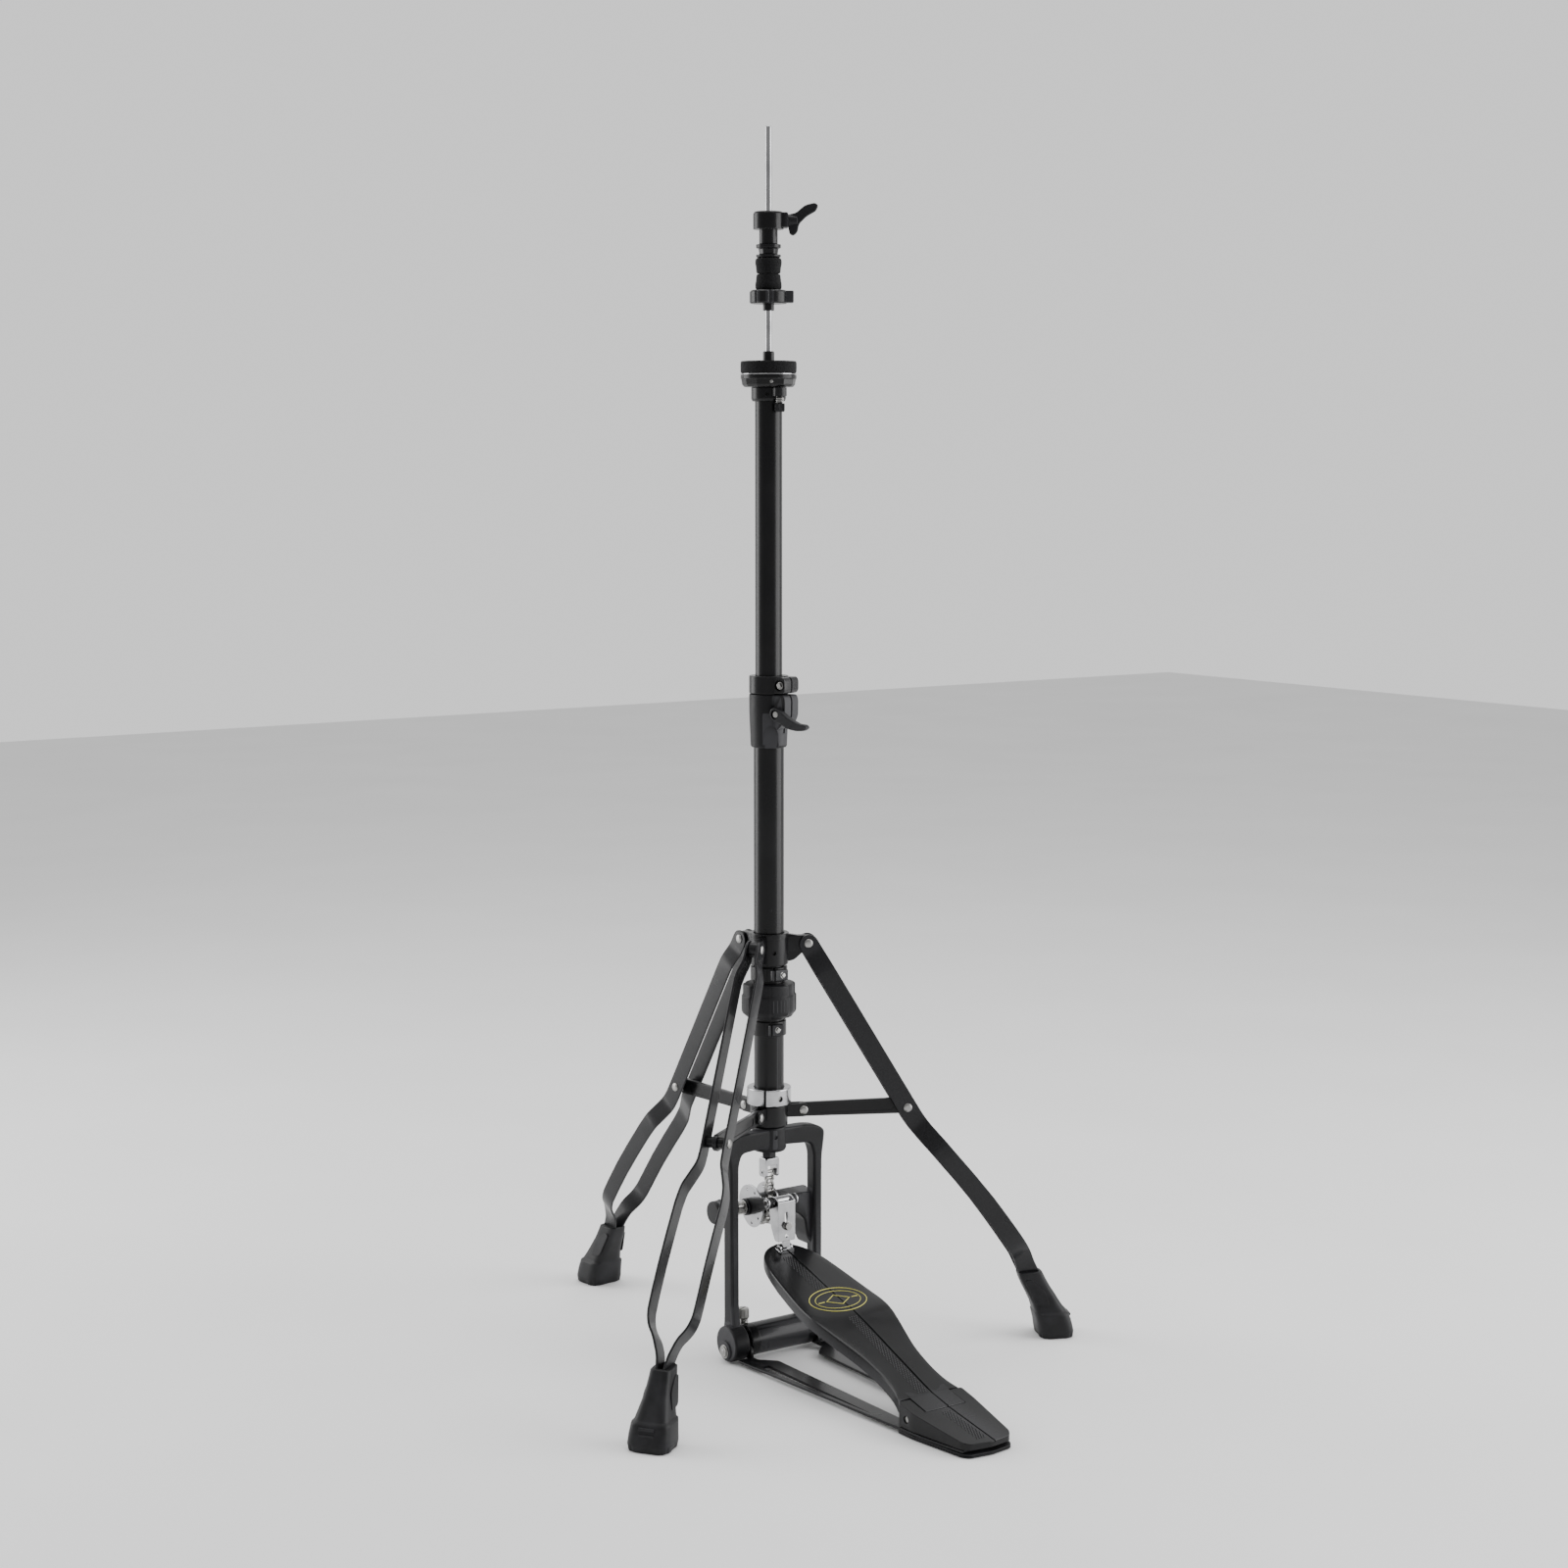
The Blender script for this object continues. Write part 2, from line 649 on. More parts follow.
def make_tension_parts(black, chrome, steel):
    """The spring's tension knob with its two rings, and the spring between its seat and the rod's coupler."""
    bore = LOWER_TUBE_RADIUS + GAP
    stop = tube("leg_stop_ring", 17.6, bore, STOP_RING_BOTTOM, STOP_RING_BOTTOM + STOP_RING_HEIGHT, 24)
    knob_top = KNOB_BOTTOM + KNOB_HEIGHT
    knob = turned(
        "tension_knob",
        [
            (KNOB_RADIUS - 1.5, knob_top),
            (KNOB_RADIUS - 1.5, knob_top - 12),
            (KNOB_RADIUS, knob_top - 12),
            (KNOB_RADIUS, KNOB_BOTTOM + 4),
            (KNOB_RADIUS - 4.0, KNOB_BOTTOM),
            (bore, KNOB_BOTTOM),
            (bore, knob_top),
        ],
        24,
        ring=True,
    )
    ring = tube(
        "tension_ring", 16.6, bore, TENSION_RING_BOTTOM, TENSION_RING_BOTTOM + TENSION_RING_HEIGHT, 24
    )
    lock = split_ring(
        "lower_memory_ring",
        LOWER_RING_RADIUS,
        bore,
        LOWER_RING_BOTTOM,
        LOWER_RING_BOTTOM + LOWER_RING_HEIGHT,
        LOWER_RING_RADIUS,
        -44.5,
        chrome,
    )
    seat_bottom = KNOB_BOTTOM + 6.0
    seat_top = seat_bottom + 8.0
    seat = tube(
        "spring_seat", LOWER_TUBE_RADIUS - TUBE_WALL - GAP, ROD_RADIUS + GAP, seat_bottom, seat_top, 20
    )
    spring_bottom = seat_top + SPRING_WIRE + GAP
    spring_top = COUPLER_Z - COUPLER_LENGTH / 2 - SPRING_WIRE - GAP
    spring = coil(
        "return_spring", SPRING_RADIUS - SPRING_WIRE, SPRING_WIRE, spring_bottom, spring_top, SPRING_TURNS
    )
    for piece, look in ((stop, black), (knob, black), (ring, black), (seat, steel), (spring, steel)):
        finish(piece, look)
    return stop, knob, ring, lock, seat, spring


def coil(name, radius, wire, bottom, top, turns, steps=9):
    curve = bpy.data.curves.new(name, "CURVE")
    curve.dimensions = "3D"
    curve.bevel_depth = wire * MM
    curve.bevel_resolution = 0
    curve.use_fill_caps = True
    count = turns * steps + 1
    spline = curve.splines.new("POLY")
    spline.points.add(count - 1)
    for i, point in enumerate(spline.points):
        turn = 2 * math.pi * i / steps
        z = bottom + (top - bottom) * i / (count - 1)
        point.co = (radius * MM * math.cos(turn), radius * MM * math.sin(turn), z * MM, 1.0)
    drawn = add_object(name + "_line", curve)
    bpy.context.view_layer.update()
    graph = bpy.context.evaluated_depsgraph_get()
    mesh = bpy.data.meshes.new_from_object(drawn.evaluated_get(graph))
    bpy.data.objects.remove(drawn)
    bm = bmesh.new()
    bm.from_mesh(mesh)
    bpy.data.meshes.remove(mesh)
    bmesh.ops.remove_doubles(bm, verts=bm.verts, dist=0.00001)
    return from_bmesh(name, bm)


# ---------------------------------------------------------------- tripod


def rounded_lug(name, start, end, radius, low, high, look_z):
    """A lug's side view as (reach, z), from the collar's wall to a round nose about the pivot."""
    points = [(start, look_z - radius), (start, look_z + radius)]
    steps = 8
    for i in range(steps + 1):
        turn = math.pi / 2 - math.pi * i / steps
        points.append((end + radius * math.cos(turn), look_z + radius * math.sin(turn)))
    return plate(name, points, low, high, "Y")


def rivet(name, radius, head_radius, reach, z, half, head):
    """A pin across a leg's plane with a head at each end."""
    profile = [
        (0, half + head),
        (head_radius - 0.7, half + head),
        (head_radius, half + head - 0.7),
        (head_radius, half),
        (radius, half),
        (radius, -half),
        (head_radius, -half),
        (head_radius, -half - head + 0.7),
        (head_radius - 0.7, -half - head),
        (0, -half - head),
    ]
    pin = apply_modifiers(turned(name, profile, 12))
    pin.data.transform(Matrix.Translation(Vector((reach, 0, z)) * MM) @ Matrix.Rotation(math.pi / 2, 4, "X"))
    return pin


def leg_collar(look):
    """The upper collar: a lug between each leg's two strips, and the rivet that the strips turn on."""
    bottom, top = LEG_COLLAR_BOTTOM, LEG_COLLAR_BOTTOM + LEG_COLLAR_HEIGHT
    body = tube("leg_collar", LEG_COLLAR_RADIUS, LOWER_TUBE_RADIUS + GAP, bottom, top, 24)
    for side, angle in LEG_ANGLES.items():
        start = LOWER_TUBE_RADIUS + 2.0
        half = LEG_LUG_HALF
        lug = rounded_lug(f"leg_lug_{side}", start, LEG_PIVOT_REACH, 7.5, -half, half, LEG_PIVOT_Z)
        outside = LEG_LUG_HALF + 2 * GAP + STRIP_THICKNESS
        pin = rivet(
            f"leg_pin_{side}", RIVET_RADIUS, RIVET_HEAD_RADIUS, LEG_PIVOT_REACH, LEG_PIVOT_Z, outside, 1.6
        )
        join(body, turned_to(lug, angle), turned_to(pin, angle))
    return finish(body, look)


def brace_collar(look):
    """The lower collar: two ears on each side of every brace, and the rivet that the brace turns on."""
    bottom, top = BRACE_COLLAR_BOTTOM, BRACE_COLLAR_BOTTOM + BRACE_COLLAR_HEIGHT
    body = tube("brace_collar", BRACE_COLLAR_RADIUS, LOWER_TUBE_RADIUS + GAP, bottom, top, 24)
    inner = BRACE_HALF + GAP
    for side, angle in LEG_ANGLES.items():
        start = LOWER_TUBE_RADIUS + 2.0
        for sign in (-1, 1):
            low, high = sorted((sign * inner, sign * BRACE_EAR_OUTER))
            ear = rounded_lug(f"ear_{side}_{sign}", start, BRACE_PIVOT_REACH, 6.5, low, high, BRACE_PIVOT_Z)
            join(body, turned_to(ear, angle))
        pin = rivet(
            f"brace_pin_{side}", RIVET_RADIUS, RIVET_HEAD_RADIUS, BRACE_PIVOT_REACH, BRACE_PIVOT_Z,
            BRACE_EAR_OUTER - 0.3, 1.7,
        )
        join(body, turned_to(pin, angle))
    return finish(body, look)


def leg_rivet():
    """Reach and height of the rivet where a brace meets its leg."""
    return BRACE_PIVOT_REACH + BRACE_LENGTH, BRACE_PIVOT_Z


def strip_line():
    """The leg strip's middle line as (reach, z, offset beside the leg's plane), from the collar to the boot."""
    rivet_reach, rivet_z = leg_rivet()
    top = Vector((LEG_PIVOT_REACH, LEG_PIVOT_Z))
    rivet = Vector((rivet_reach, rivet_z))
    along = (rivet - top).normalized()
    near = LEG_LUG_HALF + GAP + STRIP_THICKNESS / 2
    spread = STRIP_OFFSET_AT_RIVET
    wide = STRIP_OFFSET_WIDE
    line = [
        (*(top - along * 8.0), near),
        (*(top + along * 12.0), near),
        (*(top + along * 30.0), spread),
        (*(rivet + along * 17.0), spread),
        (rivet_reach + 14.0, rivet_z - 24.0, spread + 3.0),
        (rivet_reach + 29.0, rivet_z - 39.0, wide - 1.5),
        (rivet_reach + 59.0, rivet_z - 73.0, wide),
        (rivet_reach + 77.0, rivet_z - 96.0, wide),
        (rivet_reach + 93.0, rivet_z - 118.0, wide),
        (rivet_reach + 106.0, rivet_z - 137.0, wide - 1.5),
        (FOOT_REACH - 30.0, BOOT_HEIGHT + 9.0, STRIP_OFFSET_AT_FOOT + 2.4),
        (FOOT_REACH - 23.0, BOOT_HEIGHT - 5.0, STRIP_OFFSET_AT_FOOT),
        (FOOT_REACH - 12.0, BOOT_HEIGHT - 28.0, STRIP_OFFSET_AT_FOOT),
    ]
    return line


def leg_strip(name, angle, side, look):
    """One flat strip of a leg: a ribbon that follows the leg's line, standing on edge, with its rivets' holes."""
    line = strip_line()
    rows = len(line)
    bm = bmesh.new()
    bmesh.ops.create_grid(bm, x_segments=1, y_segments=rows - 1, size=1.0)
    for vert in bm.verts:
        row = round((vert.co.y + 1) / 2 * (rows - 1))
        before = Vector(line[max(row - 1, 0)][:2])
        after = Vector(line[min(row + 1, rows - 1)][:2])
        along = (after - before).normalized()
        square = Vector((along.y, -along.x))
        reach, z, offset = line[row]
        edge = STRIP_WIDTH / 2 * (1 if vert.co.x > 0 else -1)
        place = Vector((reach, z)) + square * edge
        vert.co = polar(place.x, angle, place.y, side * offset) * MM
    strip = from_bmesh(name, bm)
    wall = strip.modifiers.new("thickness", "SOLIDIFY")
    wall.thickness = STRIP_THICKNESS * MM
    wall.offset = 0.0
    apply_modifiers(strip)
    inner = LEG_LUG_HALF
    hole = rod(
        name + "_hole",
        RIVET_RADIUS + GAP,
        polar(LEG_PIVOT_REACH, angle, LEG_PIVOT_Z, side * inner),
        polar(LEG_PIVOT_REACH, angle, LEG_PIVOT_Z, side * (inner + STRIP_THICKNESS + 3)),
        12,
    )
    reach, z = leg_rivet()
    outer = STRIP_OFFSET_AT_RIVET + STRIP_THICKNESS / 2
    head = rod(
        name + "_head",
        RIVET_HEAD_RADIUS,
        polar(reach, angle, z, side * (outer - 0.8)),
        polar(reach, angle, z, side * (outer + 1.4)),
        12,
    )
    cut(strip, hole)
    join(strip, head)
    return finish(strip, look)


def brace(name, angle, look):
    """A flat bar from the lower collar to the leg, with a spacer across the leg's two strips at their rivet."""
    reach, z = leg_rivet()
    half_height = BRACE_HEIGHT / 2
    points = []
    steps = 8
    for centre, first in ((reach, -90), (BRACE_PIVOT_REACH, 90)):
        radius = half_height if centre == reach else half_height - 1.0
        for i in range(steps + 1):
            turn = math.radians(first + 180 * i / steps)
            points.append((centre + radius * math.cos(turn), z + radius * math.sin(turn)))
    bar = plate(name, points, -BRACE_HALF, BRACE_HALF, "Y")
    spacer_half = STRIP_OFFSET_AT_RIVET - STRIP_THICKNESS / 2 - GAP
    spacer = rod(name + "_spacer", 5.2, (reach, -spacer_half, z), (reach, spacer_half, z), 14)
    hole = rod(
        name + "_hole",
        RIVET_RADIUS + GAP,
        (BRACE_PIVOT_REACH, -BRACE_HALF - 2, z),
        (BRACE_PIVOT_REACH, BRACE_HALF + 2, z),
        12,
    )
    join(bar, spacer)
    cut(bar, hole)
    apply_modifiers(bar)
    return finish(turned_to(bar, angle), look)


def boot(name, angle, look):
    """A rubber boot on a leg's end: a block that leans with the leg and widens to its sole, slotted for the strips."""
    sections = (
        (BOOT_HEIGHT + 1.0, FOOT_REACH - 25.0, 13.0, 10.0),
        (BOOT_HEIGHT - 22.0, FOOT_REACH - 13.5, 14.5, 12.5),
        (22.0, FOOT_REACH - 3.0, 16.5, 17.0),
        (4.0, FOOT_REACH + 1.0, 18.5, 20.5),
        (0.0, FOOT_REACH + 1.5, 17.5, 19.5),
    )
    bm = bmesh.new()
    loops = []
    sides = 14
    for z, reach, half_along, half_across in sections:
        ring = []
        for i in range(sides):
            turn = 2 * math.pi * (i + 0.5) / sides
            along = math.copysign(abs(math.cos(turn)) ** 0.6, math.cos(turn)) * half_along
            across = math.copysign(abs(math.sin(turn)) ** 0.6, math.sin(turn)) * half_across
            ring.append(bm.verts.new(polar(reach + along, angle, z, across) * MM))
        loops.append(ring)
    for upper, lower in zip(loops, loops[1:]):
        for i in range(sides):
            j = (i + 1) % sides
            bm.faces.new((upper[i], lower[i], lower[j], upper[j]))
    bm.faces.new(loops[0])
    bm.faces.new(list(reversed(loops[-1])))
    body = from_bmesh(name, bm)
    slot_half = STRIP_OFFSET_AT_FOOT + STRIP_THICKNESS / 2 + 3.0
    middle = [Vector(point[:2]) for point in strip_line()[-3:]]
    along = (middle[2] - middle[1]).normalized()
    square = Vector((along.y, -along.x)) * (STRIP_WIDTH / 2 + 0.6)
    upper, lower = middle[1] - along * 26.0, middle[2] + along * 1.0
    outline = [tuple(upper + square), tuple(lower + square), tuple(lower - square), tuple(upper - square)]
    slot = plate(name + "_slot", outline, -slot_half, slot_half, "Y")
    cut(body, turned_to(slot, angle))
    return finish(body, look)


# ---------------------------------------------------------------- pedal frame


def mirrored(points):
    return points + [(-x, z) for x, z in reversed(points)]


def make_frame(cast):
    """The cast arch between the tube and the floor, with its hub, axle bosses and feet."""
    outer = FRAME_HALF_WIDTH
    inner = outer - POST_WIDTH
    half = [
        (0.0, FRAME_TOP - 2.0),
        (34.0, FRAME_TOP - 2.0),
        (47.0, FRAME_TOP - 4.0),
        (outer + 3.5, SHOULDER_Z + 8.0),
        (outer + 2.5, SHOULDER_Z - 2.0),
        (outer, SHOULDER_Z - 20.0),
        (outer, BASE_BOSS_Z),
        (inner, BASE_BOSS_Z),
        (inner, SHOULDER_Z - 10.0),
        (inner - 4.0, SHOULDER_Z - 1.0),
        (0.0, SHOULDER_Z + 1.0),
    ]
    front, back = FRAME_Y - FRAME_DEPTH / 2, FRAME_Y + FRAME_DEPTH / 2
    frame = plate("pedal_frame", half[:-1] + [(-x, z) for x, z in reversed(half[:-1][1:])], front, back, "Y")
    join(frame, rod("frame_hub", HUB_RADIUS, (0, 0, HUB_BOTTOM), (0, 0, FRAME_TOP), 28))
    for sign in (-1, 1):
        foot = rod(
            f"frame_foot_{sign}",
            BASE_BOSS_RADIUS,
            (sign * BASE_BOSS_INNER, BASE_Y, BASE_BOSS_Z),
            (sign * BASE_BOSS_OUTER, BASE_Y, BASE_BOSS_Z),
            20,
        )
        boss_inner = RIGHT_BOSS_INNER if sign > 0 else inner - 1.0
        boss = rod(
            f"axle_boss_{sign}",
            AXLE_BOSS_RADIUS,
            (sign * boss_inner, AXLE_Y, AXLE_Z),
            (sign * (outer + 1.0), AXLE_Y, AXLE_Z),
            18,
        )
        arm = block(
            f"axle_arm_{sign}",
            (inner + 0.4, FRAME_Y, AXLE_Z - 10.0),
            (outer - 0.4, AXLE_Y, AXLE_Z + 10.0),
        )
        if sign < 0:
            arm.data.transform(Matrix.Scale(-1, 4, (1, 0, 0)))
            arm.data.flip_normals()
        join(frame, foot, boss, arm)
    socket = rod(
        "tube_socket", LOWER_TUBE_RADIUS + GAP, (0, 0, LOWER_TUBE_BOTTOM - GAP), (0, 0, FRAME_TOP + 5), 28
    )
    rod_way = rod("rod_way", ROD_RADIUS + 1.0, (0, 0, HUB_BOTTOM - 5), (0, 0, LOWER_TUBE_BOTTOM + 5), 16)
    reach = BASE_BOSS_OUTER + 5
    axle_way = rod("axle_way", AXLE_RADIUS + GAP, (-reach, AXLE_Y, AXLE_Z), (reach, AXLE_Y, AXLE_Z), 16)
    hinge_way = rod(
        "hinge_way", HINGE_ROD_RADIUS + GAP, (-reach, BASE_Y, HINGE_ROD_Z), (reach, BASE_Y, HINGE_ROD_Z), 14
    )
    cut(frame, socket, rod_way, axle_way, hinge_way)
    return finish(frame, cast)


def make_base(black, chrome, rubber):
    """The cross beam, the hinge rod through it, the floor plate with its rails, and the two spurs."""
    ear_inner, ear_outer = BASE_BOSS_INNER - 3.4, BASE_BOSS_INNER - GAP
    beam_half = ear_inner - GAP
    beam = rod(
        "cross_beam", BEAM_RADIUS, (-beam_half, BASE_Y, BASE_BOSS_Z), (beam_half, BASE_Y, BASE_BOSS_Z), 24
    )
    low = RUBBER_THICKNESS + GAP
    high = low + BASE_PLATE_THICKNESS
    half = [
        (ear_outer, BASE_Y + 6.0),
        (ear_outer, BASE_Y - 15.5),
        (55.0, BASE_Y - 15.5),
        (HEEL_HALF_WIDTH + 1.0, EAR_FRONT_Y),
        (HEEL_HALF_WIDTH - 1.5, HEEL_PIN_Y - 20),
        (HEEL_REAR_HALF_WIDTH - 1.0, HEEL_REAR_Y + 3.0),
        (-HEEL_REAR_HALF_WIDTH + 1.0, HEEL_REAR_Y + 3.0),
        (-HEEL_HALF_WIDTH + 1.5, HEEL_PIN_Y - 20),
        (-HEEL_HALF_WIDTH - 1.0, EAR_FRONT_Y),
        (-55.0, BASE_Y - 15.5),
        (-ear_outer, BASE_Y - 15.5),
        (-ear_outer, BASE_Y + 6.0),
        (-ear_inner, BASE_Y + 6.0),
        (-ear_inner, BASE_Y - 24.0),
        (-23.0, BASE_Y - 38.0),
        (-21.0, EAR_FRONT_Y + 12.0),
        (21.0, EAR_FRONT_Y + 12.0),
        (23.0, BASE_Y - 38.0),
        (ear_inner, BASE_Y - 24.0),
        (ear_inner, BASE_Y + 6.0),
    ]
    floor_plate = plate("base_plate", half, low, high)
    for sign in (-1, 1):
        x0, x1 = sorted((sign * ear_inner, sign * ear_outer))
        ear = block(f"base_ear_{sign}", (x0, BASE_Y - 17, low + 0.4), (x1, BASE_Y + 5.5, HINGE_ROD_Z + 8))
        rail = plate(
            f"base_rail_{sign}",
            [
                (sign * 24.0, BASE_Y - 38.0),
                (sign * 36.0, BASE_Y - 38.0),
                (sign * 34.0, EAR_FRONT_Y + 13.0),
                (sign * 22.5, EAR_FRONT_Y + 13.0),
            ],
            high - 0.5,
            high + RAIL_HEIGHT,
        )
        join(floor_plate, ear, rail)
    reach = BASE_BOSS_OUTER
    hinge = rod(
        "hinge_rod",
        HINGE_ROD_RADIUS,
        (-reach - 1, BASE_Y, HINGE_ROD_Z),
        (reach + 1, BASE_Y, HINGE_ROD_Z),
        14,
    )
    way = rod(
        "base_way", HINGE_ROD_RADIUS + GAP, (-reach, BASE_Y, HINGE_ROD_Z), (reach, BASE_Y, HINGE_ROD_Z), 14
    )
    beam_way = rod(
        "beam_way", HINGE_ROD_RADIUS + GAP, (-reach, BASE_Y, HINGE_ROD_Z), (reach, BASE_Y, HINGE_ROD_Z), 14
    )
    cut(floor_plate, way)
    cut(beam, beam_way)
    for sign in (-1, 1):
        x0, x1 = sign * (reach + GAP), sign * (reach + 4.3)
        join(hinge, rod(f"hinge_head_{sign}", 5.8, (x0, BASE_Y, HINGE_ROD_Z), (x1, BASE_Y, HINGE_ROD_Z), 6))
    spurs = []
    for side, sign in (("left", -1), ("right", 1)):
        x = sign * SPUR_X
        hole = rod(f"spur_hole_{side}", SPUR_RADIUS + GAP, (x, SPUR_Y, -5), (x, SPUR_Y, 45), 14)
        cut(beam, hole)
        head = SPUR_TOP - 10.0
        profile = [
            (0, SPUR_TOP), (5.6, SPUR_TOP), (5.6, head), (SPUR_RADIUS, head), (SPUR_RADIUS, 5), (0, 0.4)
        ]
        spur = apply_modifiers(turned(f"spur_{side}", profile, 16))
        spur.data.transform(Matrix.Translation(Vector((x, SPUR_Y, 0)) * MM))
        spurs.append(finish(spur, chrome))
    return finish(beam, black), finish(floor_plate, black), finish(hinge, chrome), spurs


# ---------------------------------------------------------------- cam drive


def make_cam_drive(black, chrome):
    """The axle with the cam and its side plates, and the lever yoke with the pin that the toe link hangs on."""
    left, right = -FRAME_HALF_WIDTH + 1.0, FRAME_HALF_WIDTH - 1.0
    axle = rod("cam_axle", AXLE_RADIUS, (left, AXLE_Y, AXLE_Z), (right, AXLE_Y, AXLE_Z), 16)
    chord_reach = math.sqrt(CAM_PITCH_RADIUS**2 - (CHAIN_PITCH / 2) ** 2)
    core_radius = chord_reach - CHAIN_PLATE_HEIGHT / 2 - GAP
    plate_inner = CAM_HALF_WIDTH - 1.8
    cam = rod(
        "drive_cam",
        core_radius,
        (-plate_inner - 0.5, AXLE_Y, AXLE_Z),
        (plate_inner + 0.5, AXLE_Y, AXLE_Z),
        24,
    )
    for sign in (-1, 1):
        side = rod(
            f"cam_side_{sign}",
            CAM_PLATE_RADIUS,
            (sign * plate_inner, AXLE_Y, AXLE_Z),
            (sign * CAM_HALF_WIDTH, AXLE_Y, AXLE_Z),
            24,
        )
        join(cam, side)
    cut(cam, rod("cam_bore", AXLE_RADIUS + GAP, (-20, AXLE_Y, AXLE_Z), (20, AXLE_Y, AXLE_Z), 16))
    lever = rod(
        "drive_lever",
        LEVER_PIN_RADIUS,
        (-LEVER_OUTER - 2.0, LEVER_PIN_Y, LEVER_PIN_Z),
        (LEVER_OUTER + 2.0, LEVER_PIN_Y, LEVER_PIN_Z),
        14,
    )
    axle_point = Vector((AXLE_Y, AXLE_Z))
    pin_point = Vector((LEVER_PIN_Y, LEVER_PIN_Z))
    along = (pin_point - axle_point).normalized()
    across = Vector((-along.y, along.x))
    outline = [
        tuple(axle_point + across * 6.5),
        tuple(pin_point + across * 4.0),
        tuple(pin_point - across * 4.0),
        tuple(axle_point - across * 6.5),
    ]
    for sign in (-1, 1):
        low, high = sorted((sign * LEVER_INNER, sign * LEVER_OUTER))
        arm = plate(f"lever_arm_{sign}", outline, low + 0.5, high - 0.5, "X")
        eye = rod(f"lever_eye_{sign}", 5.6, (low, *pin_point), (high, *pin_point), 16)
        hub = rod(f"lever_hub_{sign}", 8.0, (low, *axle_point), (high, *axle_point), 18)
        join(lever, arm, eye, hub)
    cut(lever, rod("lever_bore", AXLE_RADIUS + GAP, (-30, AXLE_Y, AXLE_Z), (30, AXLE_Y, AXLE_Z), 16))
    return finish(axle, chrome), finish(cam, chrome), finish(lever, black)


def chain_link(name, start, end, half_width):
    """One link between two points in the YZ plane: a rounded bar as wide as the link."""
    start, end = Vector(start), Vector(end)
    half_height = CHAIN_PLATE_HEIGHT / 2
    along = (end - start).normalized()
    points = []
    steps = 6
    for centre, first in ((end, -90), (start, 90)):
        for i in range(steps + 1):
            turn = math.radians(first + 180 * i / steps)
            local = along * math.cos(turn) + Vector((-along.y, along.x)) * math.sin(turn)
            points.append(tuple(centre + local * half_height))
    return plate(name, points, -half_width, half_width, "X")


def make_chain(steel):
    """The chain: the hanging links on the rod's clevis, and the links that lie round the cam."""
    top = CLEVIS_BOTTOM + 5.0
    count = int((top - AXLE_Z) / CHAIN_PITCH)
    stops = [top - i * CHAIN_PITCH for i in range(count + 1)]
    hanging = None
    for i, (high, low) in enumerate(zip(stops, stops[1:])):
        half_width = CHAIN_HALF_WIDTH if i % 2 else CHAIN_HALF_WIDTH - 1.6
        link = chain_link(
            "chain_upper" if hanging is None else f"chain_link_{i}", (0, high), (0, low), half_width
        )
        hanging = link if hanging is None else join(hanging, link)
    cut(hanging, rod("chain_eye", CHAIN_PIN_RADIUS + GAP, (-10, 0, top), (10, 0, top), 12))
    wrapped = None
    clear = stops[-1] - CHAIN_PLATE_HEIGHT - 2 * GAP - 0.5
    first = math.degrees(math.asin((AXLE_Z - clear) / CAM_PITCH_RADIUS))
    step = 2 * math.degrees(math.asin(CHAIN_PITCH / 2 / CAM_PITCH_RADIUS))
    for i in range(2):
        ends = []
        for angle in (first + i * step, first + (i + 1) * step):
            turn = math.radians(180 + angle)
            ends.append(
                (AXLE_Y + CAM_PITCH_RADIUS * math.cos(turn), AXLE_Z + CAM_PITCH_RADIUS * math.sin(turn))
            )
        half_width = CHAIN_HALF_WIDTH if i % 2 else CHAIN_HALF_WIDTH - 1.6
        link = chain_link("chain_lower" if wrapped is None else f"chain_wrap_{i}", *ends, half_width)
        wrapped = link if wrapped is None else join(wrapped, link)
    return finish(hanging, steel), finish(wrapped, steel)


def make_clevis(chrome):
    """The rod's end: a clevis with the chain's pin, below a lock nut under the hub."""
    top = CLEVIS_BOTTOM + CLEVIS_HEIGHT
    half = CLEVIS_HALF_WIDTH
    clevis = block("chain_clevis", (-half, -6.5, CLEVIS_BOTTOM), (half, 6.5, top))
    pin_z = CLEVIS_BOTTOM + 5.0
    slot_half = CHAIN_HALF_WIDTH + 0.4
    slot = block(
        "clevis_slot",
        (-slot_half, -10, CLEVIS_BOTTOM - 1),
        (slot_half, 10, pin_z + CHAIN_PLATE_HEIGHT / 2 + 1.5),
    )
    bore = rod("clevis_bore", ROD_RADIUS + GAP, (0, 0, top - 7.3), (0, 0, top + 5), 16)
    cut(clevis, slot, bore)
    join(clevis, rod("clevis_pin", CHAIN_PIN_RADIUS, (-half + 1, 0, pin_z), (half - 1, 0, pin_z), 12))
    nut = rod("rod_end_nut", 7.3, (0, 0, top + GAP), (0, 0, HUB_BOTTOM - GAP), 6)
    cut(nut, rod("nut_bore", ROD_RADIUS + GAP, (0, 0, top - 2), (0, 0, HUB_BOTTOM + 2), 16))
    return finish(clevis, chrome), finish(nut, chrome)


